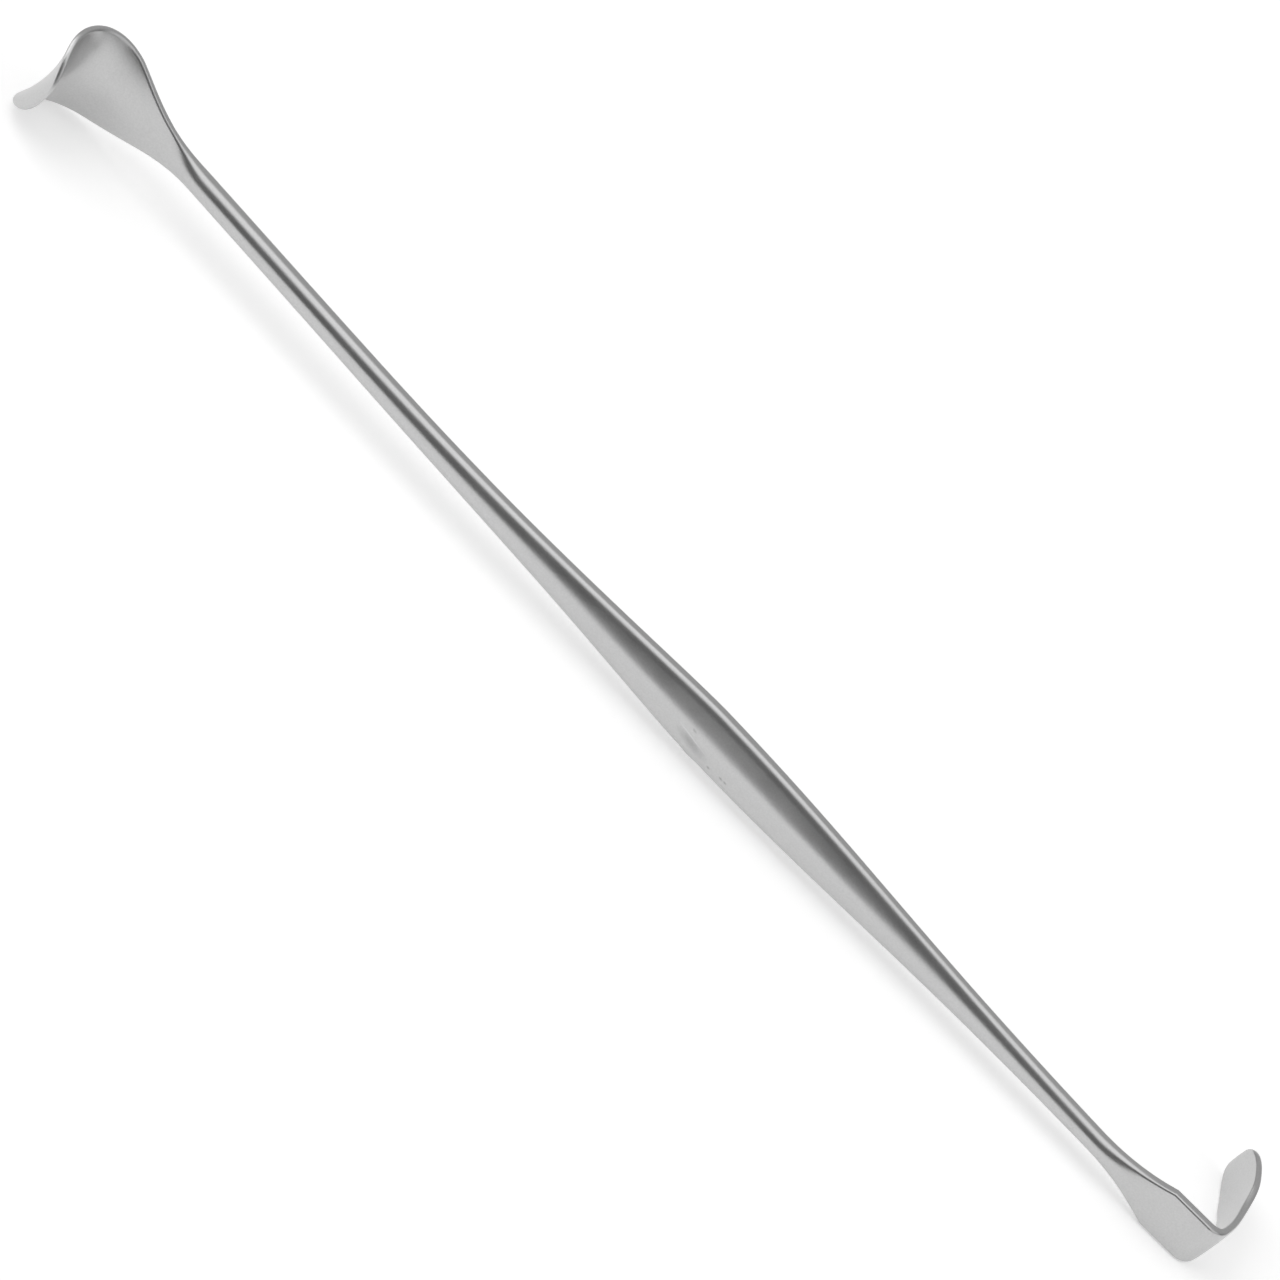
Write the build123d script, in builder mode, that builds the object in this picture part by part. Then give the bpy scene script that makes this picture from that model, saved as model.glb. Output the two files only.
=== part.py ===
from build123d import *

from math import atan, cos, exp, hypot, pi, radians, sin, sqrt
import os

os.makedirs("parts", exist_ok=True)

# A hand-held retractor with a blade at each end, forged in one piece. It lies on its side, with the width
# of its blades upright and the middle of its bounding box over the origin. Seen from above it is a long S:
# the large blade curls toward -Y at the -X end and the small blade turns toward +Y at the +X end. Lengths
# are in millimetres and angles in degrees.

# Handle: a flattened oval bar that swells past its middle and fades into a round neck at each end. A fade
# is the distance over which the swell falls away, and its shape is how blunt the top of the swell is.
handle_width = 8.15
handle_thickness = 3.3
swell_offset = 5.5
large_fade = 27.3
large_fade_shape = 1.5
small_fade = 39.5
small_fade_shape = 2.3
large_neck_width = 3.25
large_neck_thickness = 3.2
small_neck_width = 2.8
small_neck_thickness = 2.8
large_neck_end = 82.7
small_neck_end = 73.2
bow_start = 24.0
bow_length = 30.0
bow_angle = 3.1

# Large blade: a fan that widens into a wide curl, arched like a saddle, with a rounded lip.
plate_length = 15.3
plate_settle = 4.7
plate_angle = 1.8
large_width = 14.2
large_bend_radius = 6.45
large_bend_angle = 97.0
widest_past_plate = 5.9
lip_length = 3.7
lip_curl = 22.0
lip_power = 2.15
plate_thickness = 1.4
lip_thickness = 0.8
saddle_height = 1.45
fan_power = 1.2
fan_thin_length = 7.65
fan_flat_length = 11.8

# Small blade: a flat paddle with shoulders, a square bend and a waisted tongue.
flare_length = 11.1
paddle_settle = 3.6
paddle_angle = 2.9
paddle_width = 7.05
paddle_length = 5.6
paddle_thickness = 1.65
small_bend_radius = 2.36
small_bend_angle = 71.5
tongue_length = 18.4
tongue_curl = 47.5
tongue_thickness = 1.2
waist_width = 5.15
waist_distance = 6.4
tip_width = 7.15
tip_distance = 11.9
tip_power = 3.2

# Rounded ends: the share of their length at which a flat face closes them, and how late they thin out
closing_share = 0.992
thinning_power = 16

# How much a blade's faces and edges bulge, as a share of its half thickness
blade_bulge_share = 0.2

# How many steps the skins take along each stretch
handle_steps = 20
fan_steps = 6
large_bend_steps = 3
flare_steps = 4
paddle_steps = 4
small_bend_steps = 3
tongue_steps = 8
end_steps = 6

# Distances along each blade, from the end of its neck
large_bend_length = radians(large_bend_angle) * large_bend_radius
large_widest = plate_length + widest_past_plate
large_whole = plate_length + large_bend_length + lip_length
small_bend_length = radians(small_bend_angle) * small_bend_radius
small_bend_start = flare_length + paddle_length
small_bend_end = small_bend_start + small_bend_length
small_waist = small_bend_end + waist_distance
small_widest = small_bend_end + tip_distance
small_whole = small_bend_end + tongue_length

# Both blades rest on their edges, so the handle slopes by their difference in width.
span = large_neck_end + large_widest + small_neck_end + small_bend_start
slope = (large_width - paddle_width) / 2 / span
lying = Plane(origin=(0, 0, 0), x_dir=(cos(slope), 0, -sin(slope)), z_dir=(sin(slope), 0, cos(slope)))

# Centre lines, as legs of (length, left turn) walked outward from the handle's middle to each end
large_legs = [
    (bow_start, 0),
    (bow_length, -bow_angle),
    (large_neck_end - bow_start - bow_length, 0),
    (plate_settle, bow_angle + plate_angle),
    (plate_length - plate_settle, 0),
    (large_bend_length, large_bend_angle),
    (lip_length, lip_curl),
]
small_legs = [
    (small_neck_end + flare_length - paddle_settle, 0),
    (paddle_settle, paddle_angle),
    (paddle_length, 0),
    (small_bend_length, small_bend_angle),
    (tongue_length, tongue_curl),
]


def smooth(share):
    """An S-shaped rise from 0 to 1 with flat ends."""
    share = min(max(share, 0.0), 1.0)
    return share * share * (3 - 2 * share)


def mix(first, second, share):
    return first + (second - first) * share


def walk(start_heading, legs, distance):
    """Point and heading after a distance along a line of legs, each one straight or an arc."""
    x, y, heading = 0.0, 0.0, radians(start_heading)
    for length, turn in legs:
        part = min(distance, length)
        half_swing = radians(turn) * part / length / 2
        chord = part * sin(half_swing) / half_swing if half_swing else part
        x += chord * cos(heading + half_swing)
        y += chord * sin(heading + half_swing)
        heading += 2 * half_swing
        distance -= part
        if distance <= 0:
            break
    return x, y, heading


def cross_section(place, half_width, half_thickness, flatness, arch):
    """A section across the metal: a smooth oval of four arcs at flatness 0, a flat strip at 1.

    The sketch's X runs along the width and its Y toward the inner face. An arched section is curved
    so that its edges lie back from the inner face by the arch.
    """
    x, y, heading = place
    centre = lying.from_local_coords((x, y, 0))
    ahead = lying.from_local_coords((x + cos(heading), y + sin(heading), 0)) - centre
    oval_bulge = (half_width + half_thickness - hypot(half_width, half_thickness)) / 2
    bulge = mix(oval_bulge, blade_bulge_share * half_thickness, flatness)

    def bent(across, height):
        lean = atan(2 * arch * across / half_width**2)
        return across + height * sin(lean), height * cos(lean) - arch * (across / half_width) ** 2

    corner_x = half_width - bulge
    corner_y = half_thickness - bulge
    with BuildSketch(Plane(origin=centre, x_dir=-lying.z_dir, z_dir=ahead)) as section:
        with BuildLine():
            ThreePointArc(bent(-corner_x, corner_y), bent(0, half_thickness), bent(corner_x, corner_y))
            ThreePointArc(bent(corner_x, corner_y), bent(half_width, 0), bent(corner_x, -corner_y))
            ThreePointArc(bent(corner_x, -corner_y), bent(0, -half_thickness), bent(-corner_x, -corner_y))
            ThreePointArc(bent(-corner_x, -corner_y), bent(-half_width, 0), bent(-corner_x, corner_y))
        make_face()
    return section.sketch


def handle_size(distance):
    """Half width and half thickness of the handle, at a distance toward the small blade."""
    if distance > swell_offset:
        swell = exp(-(((distance - swell_offset) / small_fade) ** small_fade_shape))
        neck_width, neck_thickness = small_neck_width, small_neck_thickness
    else:
        swell = exp(-(((swell_offset - distance) / large_fade) ** large_fade_shape))
        neck_width, neck_thickness = large_neck_width, large_neck_thickness
    return mix(neck_width, handle_width, swell) / 2, mix(neck_thickness, handle_thickness, swell) / 2


def handle_section(distance):
    """A section of the handle, at a distance toward the small blade, or the large one if negative."""
    if distance >= 0:
        place = walk(0, small_legs, distance)
    else:
        x, y, heading = walk(180, large_legs, -distance)
        place = (x, y, heading + pi)
    return cross_section(place, *handle_size(distance), 0, 0)


def large_section(distance):
    """A section of the large blade, at a distance past the end of the large neck."""
    neck_half_width, neck_half_thickness = handle_size(-large_neck_end)
    fan = smooth(min(distance / large_widest, 1) ** fan_power)
    half_width = mix(neck_half_width, large_width / 2, fan)
    half_thickness = mix(neck_half_thickness, plate_thickness / 2, smooth(distance / fan_thin_length))
    thinning = max(distance - plate_length, 0) / (large_whole - plate_length)
    half_thickness = mix(half_thickness, lip_thickness / 2, thinning)
    rounding = max(distance - large_widest, 0) / (large_whole - large_widest)
    half_width *= (1 - rounding**lip_power) ** (1 / lip_power)
    half_thickness *= sqrt(1 - rounding**thinning_power)
    saddle = smooth((distance - plate_settle) / (plate_length - plate_settle))
    arch = saddle_height * saddle * (2 * half_width / large_width) ** 2
    place = walk(180, large_legs, large_neck_end + distance)
    return cross_section(place, half_width, half_thickness, smooth(distance / fan_flat_length), arch)


def small_section(distance):
    """A section of the small blade, at a distance past the end of the small neck."""
    neck_half_width, neck_half_thickness = handle_size(small_neck_end)
    flare = min(distance / flare_length, 1)
    half_width = mix(neck_half_width, paddle_width / 2, flare**2)
    half_thickness = mix(neck_half_thickness, paddle_thickness / 2, smooth(flare))
    narrowing = smooth((distance - small_bend_start) / (small_waist - small_bend_start))
    half_width = mix(half_width, waist_width / 2, narrowing)
    bent_share = (distance - small_bend_start) / small_bend_length
    half_thickness = mix(half_thickness, tongue_thickness / 2, smooth(bent_share))
    widening = smooth((distance - small_waist) / (small_widest - small_waist))
    half_width = mix(half_width, tip_width / 2, widening)
    rounding = max(distance - small_widest, 0) / (small_whole - small_widest)
    half_width *= (1 - rounding**tip_power) ** (1 / tip_power)
    half_thickness *= sqrt(1 - rounding**thinning_power)
    place = walk(0, small_legs, small_neck_end + distance)
    return cross_section(place, half_width, half_thickness, smooth(flare), 0)


def steps(first, last, count):
    """Distances spread evenly from first to last, both included."""
    return [mix(first, last, index / count) for index in range(count + 1)]


def rounded_end(first, last, count):
    """Distances past first that crowd toward last, as heights on a quarter circle do."""
    return [mix(first, last, closing_share * sin(pi / 2 * (index + 1) / count)) for index in range(count)]


# Handle, in short straight-sided lengths
handle_distances = steps(-large_neck_end, small_neck_end, handle_steps)
with BuildPart() as handle:
    loft([handle_section(distance) for distance in handle_distances], ruled=True)

# Large blade
large_distances = steps(0, plate_length, fan_steps)
large_distances += steps(plate_length, large_widest, large_bend_steps)[1:]
large_distances += rounded_end(large_widest, large_whole, end_steps)
with BuildPart() as large_blade:
    loft([large_section(distance) for distance in large_distances])

# Small blade, with a crease across it where its flare meets the paddle
small_distances = steps(flare_length, small_bend_start, paddle_steps)
small_distances += steps(small_bend_start, small_bend_end, small_bend_steps)[1:]
small_distances += steps(small_bend_end, small_widest, tongue_steps)[1:]
small_distances += rounded_end(small_widest, small_whole, end_steps)
with BuildPart() as flare:
    loft([small_section(distance) for distance in steps(0, flare_length, flare_steps)])
with BuildPart() as small_blade:
    loft([small_section(distance) for distance in small_distances])

# One forging: the four skins meet in shared outlines, and a flat face closes the end of each blade.
pieces = (handle, large_blade, flare, small_blade)
skins = [face for piece in pieces for face in piece.faces().filter_by(GeomType.BSPLINE)]
lip_end = large_blade.faces().filter_by(GeomType.PLANE).sort_by(Axis.Y)[0]
tongue_end = small_blade.faces().filter_by(GeomType.PLANE).sort_by(Axis.Y)[-1]
forging = Solid(Shell([*skins, lip_end, tongue_end]))
box = forging.bounding_box()
with BuildPart() as retractor:
    with Locations((-box.center().X, -box.center().Y, -box.min.Z)):
        add(forging)
retractor.part.label = "retractor"
export_step(retractor.part, "parts/retractor.step")
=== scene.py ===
import math

import bpy
from mathutils import Matrix, Vector


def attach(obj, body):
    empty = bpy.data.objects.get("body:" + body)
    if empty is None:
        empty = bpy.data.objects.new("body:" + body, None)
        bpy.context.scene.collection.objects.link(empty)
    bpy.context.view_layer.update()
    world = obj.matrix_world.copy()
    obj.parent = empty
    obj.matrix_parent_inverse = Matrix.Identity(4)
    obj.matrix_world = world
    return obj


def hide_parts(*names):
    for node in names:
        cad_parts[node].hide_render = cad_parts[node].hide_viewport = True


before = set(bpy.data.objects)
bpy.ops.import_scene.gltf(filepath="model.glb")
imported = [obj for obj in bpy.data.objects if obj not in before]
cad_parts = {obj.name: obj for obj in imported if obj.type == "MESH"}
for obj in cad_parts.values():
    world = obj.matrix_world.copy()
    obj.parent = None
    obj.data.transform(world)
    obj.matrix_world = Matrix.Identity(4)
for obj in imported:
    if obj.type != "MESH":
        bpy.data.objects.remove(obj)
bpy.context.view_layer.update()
MM = 0.001

# Where the handle's middle lies in the frame. Lengths from here on are in millimetres.
handle_middle = Vector((6.203, -5.522, 5.283))

# Handle: a flattened oval bar that swells past its middle and fades into a round neck at each end
handle_width = 8.15
handle_thickness = 3.3
swell_offset = 5.5
large_fade = 27.3
large_fade_shape = 1.5
small_fade = 39.5
small_fade_shape = 2.3
large_neck_width = 3.25
large_neck_thickness = 3.2
small_neck_width = 2.8
small_neck_thickness = 2.8
large_neck_end = 82.7
small_neck_end = 73.2
bow_start = 24.0
bow_length = 30.0
bow_angle = 3.1

# The broad faces of the handle slope away from a soft ridge to its narrow walls, and the near one leans up
# a little. With its ridge the handle stands slightly thicker and narrower than the plain oval, and the
# edges between its faces and walls are softened more than those of its necks.
ridge_drop = 0.85
ridge_softness = 0.2
wall_bulge = 0.25
ridge_rise = 0.28
ridge_trim = 0.26
wall_edge_reach = 0.9
wall_edge_share = 0.42
face_lean = -5.5

# A worn spot on the near face: a shallow step down to the lower edge, which bulges a little there
spot_place = 5.9
spot_reach = 3.0
spot_depth = 0.09
step_from_edge = 2.8
step_slant = 0.17
step_width = 0.35
edge_bulge_out = 0.13
edge_bulge_reach = 1.3
edge_bulge_start = 1.0
edge_bulge_rise = 0.8

# Marks painted into the steel's tone on the near face, in the frame: a light streak that is a painted
# highlight over a darker patch that is painted shade, both standing in for the shading of the worn spot's
# dent, and small dark specks.
# Each is (x, z, half length, half width, change of tone).
near_face_y = -6.9
mark_slant = 10.3
mark_depth = 1.5
painted_shading_and_specks = [
    # Painted highlight: the light streak along the dent
    (10.85, 4.35, 2.9, 0.2, 0.18),
    # Painted shade: the darker patch below the streak
    (11.3, 3.6, 3.2, 1.0, -0.18),
    (10.4, 5.4, 0.5, 0.2, -0.25),
    (14.8, 2.8, 0.35, 0.2, -0.28),
    (16.8, 3.0, 0.45, 0.2, -0.28),
    (17.5, 3.0, 0.35, 0.2, -0.28),
]

# Large blade: a fan that widens into a wide curl, arched like a saddle, with a rounded lip
plate_length = 15.3
plate_settle = 4.7
plate_angle = 1.8
large_width = 14.2
large_bend_radius = 6.45
large_bend_angle = 97.0
widest_past_plate = 5.9
lip_length = 3.7
lip_curl = 22.0
lip_power = 2.15
plate_thickness = 1.4
lip_thickness = 0.8
saddle_height = 1.45
fan_power = 1.2
fan_thin_length = 7.65
fan_flat_length = 11.8

# Small blade: a flat paddle with shoulders, a square bend and a waisted tongue
flare_length = 11.1
paddle_settle = 3.6
paddle_angle = 2.9
paddle_width = 7.05
paddle_length = 5.6
paddle_thickness = 1.65
small_bend_radius = 2.36
small_bend_angle = 71.5
tongue_length = 18.4
tongue_curl = 47.5
tongue_thickness = 1.2
waist_width = 5.15
waist_distance = 6.4
tip_width = 7.15
tip_distance = 11.9
tip_power = 3.2

# Ends: how late the blades thin out and at which share of their length a flat face closes them
thinning_power = 16
closing_share = 0.9999

# How much a blade's faces and edges bulge, as a share of its half thickness
blade_bulge_share = 0.2

# How far the corners are softened at the necks and on the two blades, and the largest share of a face or
# wall that this may take
neck_corner_reach = 0.16
large_corner_reach = 0.4
small_corner_reach = 0.28
corner_share = 0.4

# How many steps the mesh takes across a face, a wall and a corner, and along the rounded end of a blade
face_count = 28
wall_count = 8
corner_count = 10
end_count = 60

# How long the mesh's steps are along the handle, its worn spot, the two blades, the flare and paddle, and
# the square bend
handle_step = 1.0
spot_step = 0.15
blade_step = 0.3
paddle_step = 0.25
bend_step = 0.1

# Distances along each blade, from the end of its neck
large_bend_length = math.radians(large_bend_angle) * large_bend_radius
large_widest = plate_length + widest_past_plate
large_whole = plate_length + large_bend_length + lip_length
small_bend_length = math.radians(small_bend_angle) * small_bend_radius
small_bend_start = flare_length + paddle_length
small_bend_end = small_bend_start + small_bend_length
small_waist = small_bend_end + waist_distance
small_widest = small_bend_end + tip_distance
small_whole = small_bend_end + tongue_length

# Both blades rest on their edges, so the handle slopes by their difference in width.
span = large_neck_end + large_widest + small_neck_end + small_bend_start
slope = (large_width - paddle_width) / 2 / span
along = Vector((math.cos(slope), 0, -math.sin(slope)))
aside = Vector((0, 1, 0))
upward = Vector((math.sin(slope), 0, math.cos(slope)))

# Centre lines, as legs of (length, left turn) walked outward from the handle's middle to each end
large_legs = [
    (bow_start, 0),
    (bow_length, -bow_angle),
    (large_neck_end - bow_start - bow_length, 0),
    (plate_settle, bow_angle + plate_angle),
    (plate_length - plate_settle, 0),
    (large_bend_length, large_bend_angle),
    (lip_length, lip_curl),
]
small_legs = [
    (small_neck_end + flare_length - paddle_settle, 0),
    (paddle_settle, paddle_angle),
    (paddle_length, 0),
    (small_bend_length, small_bend_angle),
    (tongue_length, tongue_curl),
]


def smooth(share):
    """An S-shaped rise from 0 to 1 with flat ends."""
    share = min(max(share, 0.0), 1.0)
    return share * share * (3 - 2 * share)


def mix(first, second, share):
    return first + (second - first) * share


def walk(start_heading, legs, distance):
    """Point and heading after a distance along a line of legs, each one straight or an arc."""
    x, y, heading = 0.0, 0.0, math.radians(start_heading)
    for length, turn in legs:
        part = min(distance, length)
        half_swing = math.radians(turn) * part / length / 2
        chord = part * math.sin(half_swing) / half_swing if half_swing else part
        x += chord * math.cos(heading + half_swing)
        y += chord * math.sin(heading + half_swing)
        heading += 2 * half_swing
        distance -= part
        if distance <= 0:
            break
    return x, y, heading


def handle_size(distance):
    """Half width and half thickness of the handle, at a distance toward the small blade."""
    if distance > swell_offset:
        swell = math.exp(-(((distance - swell_offset) / small_fade) ** small_fade_shape))
        neck_width, neck_thickness = small_neck_width, small_neck_thickness
    else:
        swell = math.exp(-(((swell_offset - distance) / large_fade) ** large_fade_shape))
        neck_width, neck_thickness = large_neck_width, large_neck_thickness
    return mix(neck_width, handle_width, swell) / 2, mix(neck_thickness, handle_thickness, swell) / 2


def large_size(distance):
    """Half width, half thickness, flatness and arch of the large blade, past the end of its neck."""
    neck_half_width, neck_half_thickness = handle_size(-large_neck_end)
    fan = smooth(min(distance / large_widest, 1) ** fan_power)
    half_width = mix(neck_half_width, large_width / 2, fan)
    half_thickness = mix(neck_half_thickness, plate_thickness / 2, smooth(distance / fan_thin_length))
    thinning = max(distance - plate_length, 0) / (large_whole - plate_length)
    half_thickness = mix(half_thickness, lip_thickness / 2, thinning)
    rounding = max(distance - large_widest, 0) / (large_whole - large_widest)
    half_width *= (1 - rounding**lip_power) ** (1 / lip_power)
    half_thickness *= math.sqrt(1 - rounding**thinning_power)
    saddle = smooth((distance - plate_settle) / (plate_length - plate_settle))
    arch = saddle_height * saddle * (2 * half_width / large_width) ** 2
    return half_width, half_thickness, smooth(distance / fan_flat_length), arch


def small_size(distance):
    """Half width, half thickness, flatness and arch of the small blade, past the end of its neck."""
    neck_half_width, neck_half_thickness = handle_size(small_neck_end)
    flare = min(distance / flare_length, 1)
    half_width = mix(neck_half_width, paddle_width / 2, flare**2)
    half_thickness = mix(neck_half_thickness, paddle_thickness / 2, smooth(flare))
    narrowing = smooth((distance - small_bend_start) / (small_waist - small_bend_start))
    half_width = mix(half_width, waist_width / 2, narrowing)
    bent_share = (distance - small_bend_start) / small_bend_length
    half_thickness = mix(half_thickness, tongue_thickness / 2, smooth(bent_share))
    widening = smooth((distance - small_waist) / (small_widest - small_waist))
    half_width = mix(half_width, tip_width / 2, widening)
    rounding = max(distance - small_widest, 0) / (small_whole - small_widest)
    half_width *= (1 - rounding**tip_power) ** (1 / tip_power)
    half_thickness *= math.sqrt(1 - rounding**thinning_power)
    return half_width, half_thickness, smooth(flare), 0.0


def arc(first, middle, last):
    """A circular arc through three points of a section, as a function of the share of its length."""
    nearly_straight = 1e-9
    centre = (first + last) / 2
    chord = (last - first) / 2
    rise = Vector((-chord.y, chord.x))
    swing = 2 * math.atan((middle - centre).dot(rise) / chord.length_squared) or nearly_straight

    def point(share):
        angle = swing * (2 * share - 1)
        height = (math.cos(angle) - math.cos(swing)) / math.sin(swing)
        return centre + chord * (math.sin(angle) / math.sin(swing)) + rise * height

    return point


def ridged(face, corner_x, drop):
    """A face of the handle, drawn in from an arc to two slopes with a soft ridge between them."""
    full = math.hypot(1, ridge_softness) - ridge_softness

    def point(share):
        place = face(share)
        across = place.x / corner_x
        slope_drop = (math.hypot(across, ridge_softness) - ridge_softness) / full
        return place - Vector((0, math.copysign(drop * (slope_drop - across**2), place.y)))

    return point


def corner(before, leave, after, join, count):
    """Points of a softened corner that leaves one curve and joins the next along their tangents."""
    nudge = 1e-4
    start, end = before(leave), after(join)
    ahead = before(leave + nudge) - before(leave - nudge)
    onward = after(join + nudge) - after(join - nudge)
    gap = end - start
    reach = (gap.x * onward.y - gap.y * onward.x) / (ahead.x * onward.y - ahead.y * onward.x)
    control = start + ahead * reach
    shares = [index / count for index in range(1, count)]
    return [start * (1 - t) ** 2 + control * (2 * t * (1 - t)) + end * t**2 for t in shares]


def outline(half_width, half_thickness, flatness, arch, ridge, blade_corner_reach):
    """Points around a section: across the width and toward the +Y side, with softened corners.

    The section is an oval at flatness 0 and a flat strip at 1, and at ridge 1 its faces are ridged. An
    arched section is curved so that its edges lie back.
    """
    oval_bulge = (half_width + half_thickness - math.hypot(half_width, half_thickness)) / 2
    bulge = mix(oval_bulge, blade_bulge_share * half_thickness, flatness)
    edge_bulge = mix(bulge, wall_bulge, ridge)
    face_bulge = mix(bulge, ridge_drop, ridge)

    def bent(across, height):
        lean = math.atan(2 * arch * across / half_width**2)
        drop = arch * (across / half_width) ** 2
        return Vector((across + height * math.sin(lean), height * math.cos(lean) - drop))

    x = half_width - edge_bulge
    y = half_thickness - face_bulge
    face_length = 2 * x
    wall_length = 2 * y
    front = arc(bent(-x, y), bent(0, half_thickness), bent(x, y))
    back = arc(bent(x, -y), bent(0, -half_thickness), bent(-x, -y))
    if ridge > 0:
        front = ridged(front, x, ridge * face_bulge)
        back = ridged(back, x, ridge * face_bulge)
    curves = [
        (front, face_count),
        (arc(bent(x, y), bent(half_width, 0), bent(x, -y)), wall_count),
        (back, face_count),
        (arc(bent(-x, -y), bent(-half_width, 0), bent(-x, y)), wall_count),
    ]
    share = mix(corner_share, wall_edge_share, ridge)
    reach = mix(mix(neck_corner_reach, blade_corner_reach, flatness), wall_edge_reach, ridge)
    reach = min(reach, share * face_length, share * wall_length)
    cuts = (reach / face_length, reach / wall_length) * 2
    points = []
    for index, (curve, count) in enumerate(curves):
        following = (index + 1) % len(curves)
        cut = cuts[index]
        points += [curve(mix(cut, 1 - cut, step / count)) for step in range(count + 1)]
        points += corner(curve, 1 - cut, curves[following][0], cuts[following], corner_count)
    return points


def wear(distance, point, half_width):
    """A point of a section, moved where the worn spot touches it. The section's +X is its lower edge."""
    along_spot = distance - spot_place
    if point.y > 0 or abs(along_spot) > spot_reach:
        return point
    fade = 1 - smooth((2 * abs(along_spot) - spot_reach) / spot_reach)
    step = step_from_edge - step_slant * along_spot
    depth = spot_depth * fade * smooth((step - half_width + point.x) / step_width)
    edge = smooth((point.x - half_width + edge_bulge_start) / edge_bulge_rise)
    bulge = edge_bulge_out * edge * math.exp(-((along_spot / edge_bulge_reach) ** 2))
    return point + Vector((bulge, depth))


def section(distance):
    """Points of the section at a signed distance from the handle's middle, in the frame."""
    if distance < 0:
        x, y, heading = walk(180, large_legs, -distance)
        heading += math.pi
    else:
        x, y, heading = walk(0, small_legs, distance)
    ridge = 0.0
    if distance < -large_neck_end:
        half_width, half_thickness, flatness, arch = large_size(-distance - large_neck_end)
    elif distance > small_neck_end:
        half_width, half_thickness, flatness, arch = small_size(distance - small_neck_end)
    else:
        half_width, half_thickness = handle_size(distance)
        flatness, arch = 0.0, 0.0
        ridge = smooth((2 * half_width - large_neck_width) / (handle_width - large_neck_width))
        half_width -= ridge_trim * ridge
        half_thickness += ridge_rise * ridge
    centre = handle_middle + along * x + aside * y
    inward = aside * math.cos(heading) - along * math.sin(heading)
    lean = math.radians(face_lean) * ridge
    across = inward * math.sin(lean) - upward * math.cos(lean)
    outward = inward * math.cos(lean) + upward * math.sin(lean)
    blade_corner_reach = large_corner_reach if distance < 0 else small_corner_reach
    points = outline(half_width, half_thickness, flatness, -arch, ridge, blade_corner_reach)
    points = [wear(distance, point, half_width) for point in points]
    return [(centre + across * point.x + outward * point.y) * MM for point in points]


def steps(first, last, size):
    """Distances from first up to last in even steps of about one size, last left out."""
    count = math.ceil(abs(last - first) / size)
    return [mix(first, last, index / count) for index in range(count)]


def rounded_end(first, last, count):
    """Distances past first that crowd toward last, as heights on a quarter circle do."""
    heights = [math.sin(math.pi / 2 * (index + 1) / count) for index in range(count)]
    return [mix(first, last, closing_share * height) for height in heights]


def ring_distances():
    """Signed distances of all rings from the handle's middle, from the large lip to the small tip."""
    large = steps(0, large_widest, blade_step) + rounded_end(large_widest, large_whole, end_count)
    small = steps(0, flare_length, paddle_step)
    small += steps(flare_length, small_bend_start, paddle_step)
    small += steps(small_bend_start, small_bend_end, bend_step)
    small += steps(small_bend_end, small_widest, blade_step)
    small += rounded_end(small_widest, small_whole, end_count)
    distances = [-large_neck_end - distance for distance in reversed(large)]
    distances += steps(-large_neck_end, spot_place - spot_reach, handle_step)[1:]
    distances += steps(spot_place - spot_reach, spot_place + spot_reach, spot_step)
    distances += steps(spot_place + spot_reach, small_neck_end, handle_step)
    distances += [small_neck_end + distance for distance in small]
    return distances


def forging():
    """The whole instrument as one closed mesh, with a flat face at each end of its row of rings."""
    rings = [section(distance) for distance in ring_distances()]
    points = [point for ring in rings for point in ring]
    size = len(rings[0])
    faces = [tuple(range(size))]
    for start in range(0, len(points) - size, size):
        for index in range(size):
            onward = (index + 1) % size
            faces.append((start + onward, start + index, start + size + index, start + size + onward))
    faces.append(tuple(reversed(range(len(points) - size, len(points)))))
    mesh = bpy.data.meshes.new("forging")
    mesh.from_pydata(points, [], faces)
    mesh.shade_smooth()
    piece = bpy.data.objects.new("forging", mesh)
    bpy.context.scene.collection.objects.link(piece)
    return piece


# Steel: its brightness and how much the grain varies it, the scale, detail, strength and height of the
# grain, and the wide cloudy patches in its roughness
steel_tone = 0.55
mottling = 0.12
grain_scale = 4200
grain_detail = 2
grain_strength = 0.25
grain_height = 0.02
cloud_scale = 260
cloud_detail = 3
least_roughness = 0.25
most_roughness = 0.34


def shader(material, kind):
    """The first node of one kind in a material."""
    return next(node for node in material.node_tree.nodes if node.type == kind)


def noise(material, place, scale, detail):
    """A noise texture laid over the piece's own space."""
    texture = material.node_tree.nodes.new("ShaderNodeTexNoise")
    texture.inputs["Scale"].default_value = scale
    texture.inputs["Detail"].default_value = detail
    material.node_tree.links.new(place.outputs["Object"], texture.inputs["Vector"])
    return texture


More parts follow.
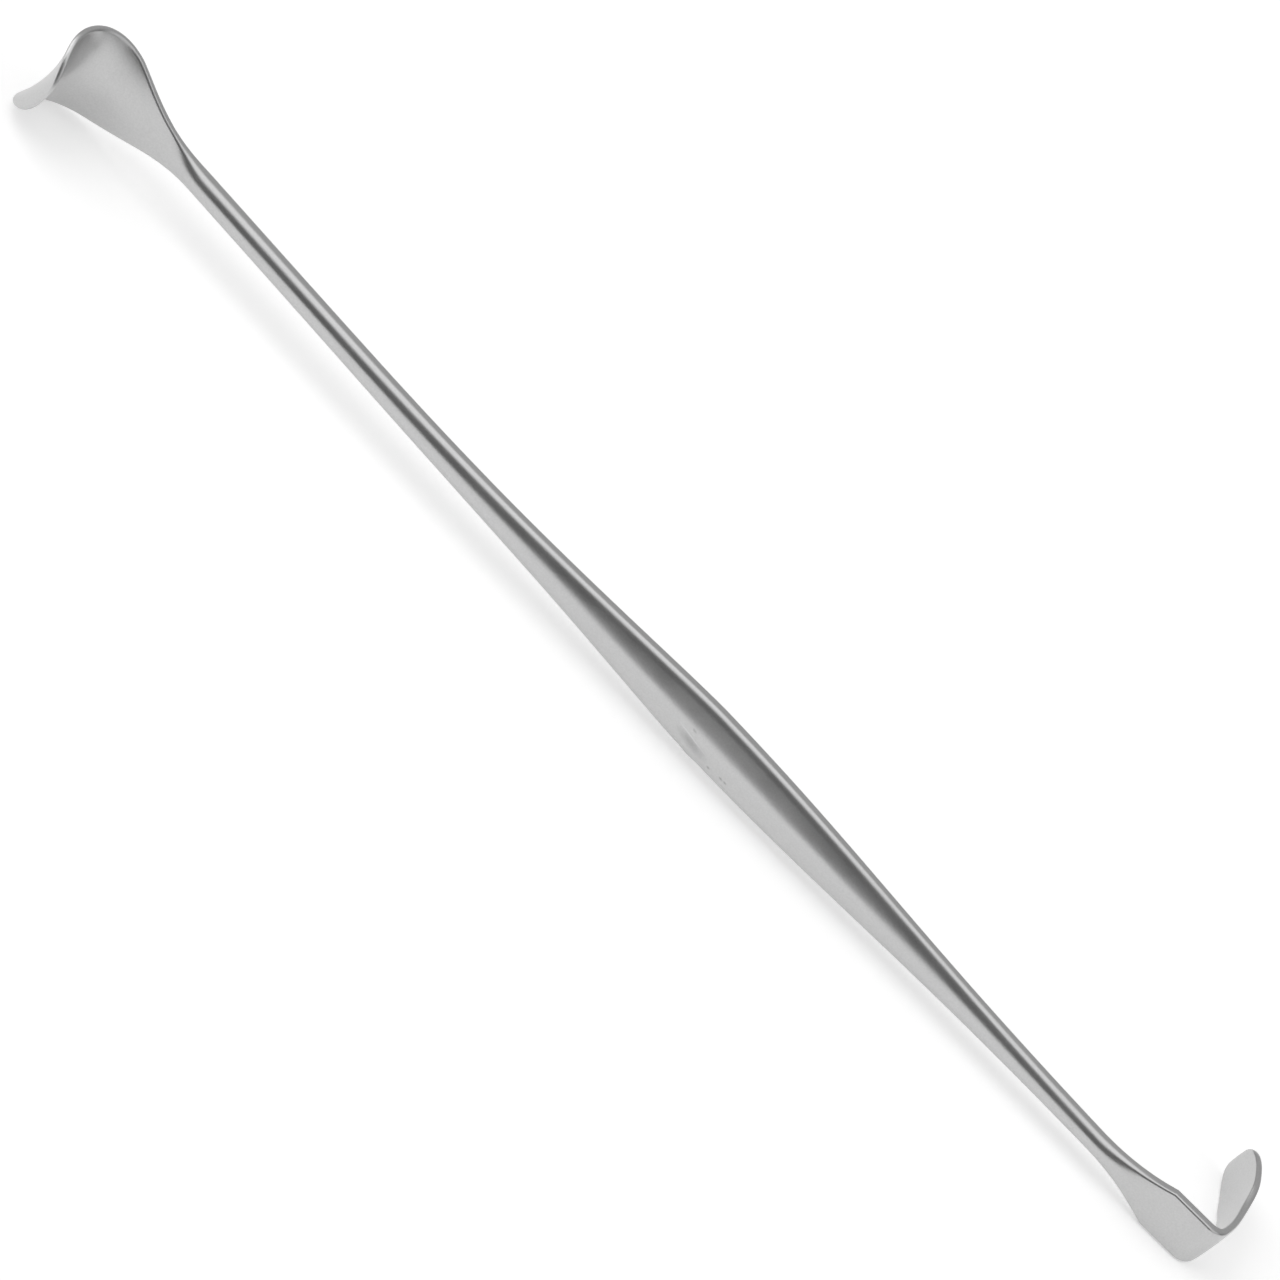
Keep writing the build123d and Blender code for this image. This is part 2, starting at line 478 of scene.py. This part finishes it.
def satin_steel():
    """Stainless steel with a fine satin grain, faint cloudy patches in its gloss, and on its near face a
    painted highlight, painted shade and small dark specks.
    """
    material = bpy.data.materials.new("satin_steel")
    material.use_nodes = True
    nodes, links = material.node_tree.nodes, material.node_tree.links
    steel = shader(material, "BSDF_PRINCIPLED")
    steel.inputs["Base Color"].default_value = (steel_tone, steel_tone, steel_tone, 1)
    steel.inputs["Metallic"].default_value = 1.0
    place = nodes.new("ShaderNodeTexCoord")

    grain = noise(material, place, grain_scale, grain_detail)
    mottle = nodes.new("ShaderNodeMath")
    mottle.operation = "MULTIPLY_ADD"
    mottle.inputs[1].default_value = mottling
    mottle.inputs[2].default_value = steel_tone - mottling / 2
    links.new(grain.outputs["Fac"], mottle.inputs[0])

    tone = mottle.outputs[0]
    # Paints the light streak (painted highlight), the darker patch (painted shade) and the dark specks
    # into the base colour
    for x, z, half_length, half_width, change in painted_shading_and_specks:
        spot = nodes.new("ShaderNodeMapping")
        spot.vector_type = "TEXTURE"
        spot.inputs["Location"].default_value = (x * MM, near_face_y * MM, z * MM)
        spot.inputs["Rotation"].default_value = (0, math.radians(mark_slant), 0)
        spot.inputs["Scale"].default_value = (half_length * MM, mark_depth * MM, half_width * MM)
        links.new(place.outputs["Object"], spot.inputs["Vector"])
        fade = nodes.new("ShaderNodeTexGradient")
        fade.gradient_type = "SPHERICAL"
        links.new(spot.outputs["Vector"], fade.inputs["Vector"])
        add = nodes.new("ShaderNodeMath")
        add.operation = "MULTIPLY_ADD"
        add.inputs[1].default_value = change
        links.new(fade.outputs["Fac"], add.inputs[0])
        links.new(tone, add.inputs[2])
        tone = add.outputs[0]
    links.new(tone, steel.inputs["Base Color"])

    clouds = noise(material, place, cloud_scale, cloud_detail)
    gloss = nodes.new("ShaderNodeMapRange")
    gloss.inputs["To Min"].default_value = least_roughness
    gloss.inputs["To Max"].default_value = most_roughness
    links.new(clouds.outputs["Fac"], gloss.inputs["Value"])
    links.new(gloss.outputs["Result"], steel.inputs["Roughness"])

    bump = nodes.new("ShaderNodeBump")
    bump.inputs["Strength"].default_value = grain_strength
    bump.inputs["Distance"].default_value = grain_height * MM
    links.new(grain.outputs["Fac"], bump.inputs["Height"])
    links.new(bump.outputs["Normal"], steel.inputs["Normal"])
    return material


piece = forging()
piece.data.materials.append(satin_steel())
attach(piece, "root")
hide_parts("retractor")

# Camera: a long lens about a metre away, looking down on the instrument at the photograph's angle.
camera_data = bpy.data.cameras.new("camera")
camera = bpy.data.objects.new("camera", camera_data)
bpy.context.scene.collection.objects.link(camera)
bpy.context.scene.camera = camera
camera_right = Vector((0.69822, 0.37385, 0.61051))
camera_up = Vector((-0.71224, 0.44862, 0.53986))
camera_back = Vector((-0.07206, -0.81177, 0.57951))
camera_place = Vector((-72.03, -795.90, 571.85)) * MM
turn = Matrix((camera_right, camera_up, camera_back)).transposed().to_4x4()
camera.matrix_world = Matrix.Translation(camera_place) @ turn
camera_data.sensor_width = 36.0
camera_data.lens = 230.7
camera_data.clip_start = 0.05
camera_data.clip_end = 20.0

# Floor, with just enough glow of its own to stay white, to the camera and in the steel alike
floor_tone = 0.9
floor_roughness = 0.9
floor_glow = 0.36
bpy.ops.mesh.primitive_plane_add(size=4.0, location=(0, 0, 0))
floor = bpy.context.object
floor.name = "floor"
floor_material = bpy.data.materials.new("floor")
floor_material.use_nodes = True
paper = shader(floor_material, "BSDF_PRINCIPLED")
paper.inputs["Base Color"].default_value = (floor_tone, floor_tone, floor_tone, 1)
paper.inputs["Roughness"].default_value = floor_roughness
paper.inputs["Emission Color"].default_value = (1, 1, 1, 1)
floor_tree = floor_material.node_tree
light_path = floor_tree.nodes.new("ShaderNodeLightPath")
seen = None
for kind in ("Is Camera Ray", "Is Glossy Ray", "Is Transmission Ray"):
    add = floor_tree.nodes.new("ShaderNodeMath")
    add.use_clamp = True
    add.inputs[0].default_value = 0.0
    if seen:
        floor_tree.links.new(seen, add.inputs[0])
    floor_tree.links.new(light_path.outputs[kind], add.inputs[1])
    seen = add.outputs[0]
lift = floor_tree.nodes.new("ShaderNodeMath")
lift.operation = "MULTIPLY"
lift.inputs[1].default_value = floor_glow
floor_tree.links.new(seen, lift.inputs[0])
floor_tree.links.new(lift.outputs[0], paper.inputs["Emission Strength"])
floor.data.materials.append(floor_material)


def area_light(name, direction, distance, size, power):
    """A soft square lamp that shines on the instrument from one direction, with sizes in metres."""
    data = bpy.data.lights.new(name, "AREA")
    data.size = size
    data.energy = power
    light = bpy.data.objects.new(name, data)
    bpy.context.scene.collection.objects.link(light)
    aim = Vector(direction).normalized()
    light.location = aim * distance
    light.rotation_euler = aim.to_track_quat("Z", "Y").to_euler()


area_light("left", direction=(-0.8, -0.15, 0.6), distance=2.0, size=2.0, power=18)
area_light("right", direction=(0.8, -0.35, 0.6), distance=2.0, size=2.0, power=8)

# World: a dim room, a little lighter above, with a bright ceiling panel and a pale wall behind
world = bpy.data.worlds.new("world")
bpy.context.scene.world = world
world.use_nodes = True
sky_nodes, sky_links = world.node_tree.nodes, world.node_tree.links
sky = sky_nodes["Background"]
sky.inputs["Color"].default_value = (1, 1, 1, 1)
sky_place = sky_nodes.new("ShaderNodeTexCoord")
room_level = 0.08
# Each glow is (direction, degrees from it at which the glow starts to fall, and ends, level).
glows = [
    ((0, 0, 1), 0, 180, 0.08),
    ((0, -0.2, 1), 14, 34, 1.0),
    ((0, 1, 0.6), 20, 80, 0.36),
]
level = None
for direction, inner, outer, strength in glows:
    toward = sky_nodes.new("ShaderNodeVectorMath")
    toward.operation = "DOT_PRODUCT"
    toward.inputs[1].default_value = Vector(direction).normalized()
    sky_links.new(sky_place.outputs["Generated"], toward.inputs[0])
    fall = sky_nodes.new("ShaderNodeMapRange")
    fall.interpolation_type = "SMOOTHSTEP"
    fall.inputs["From Min"].default_value = math.cos(math.radians(outer))
    fall.inputs["From Max"].default_value = math.cos(math.radians(inner))
    fall.inputs["To Max"].default_value = strength
    sky_links.new(toward.outputs["Value"], fall.inputs["Value"])
    add = sky_nodes.new("ShaderNodeMath")
    add.inputs[0].default_value = room_level
    if level:
        sky_links.new(level, add.inputs[0])
    sky_links.new(fall.outputs["Result"], add.inputs[1])
    level = add.outputs[0]
sky_links.new(level, sky.inputs["Strength"])

bpy.context.scene.view_settings.view_transform = "Standard"
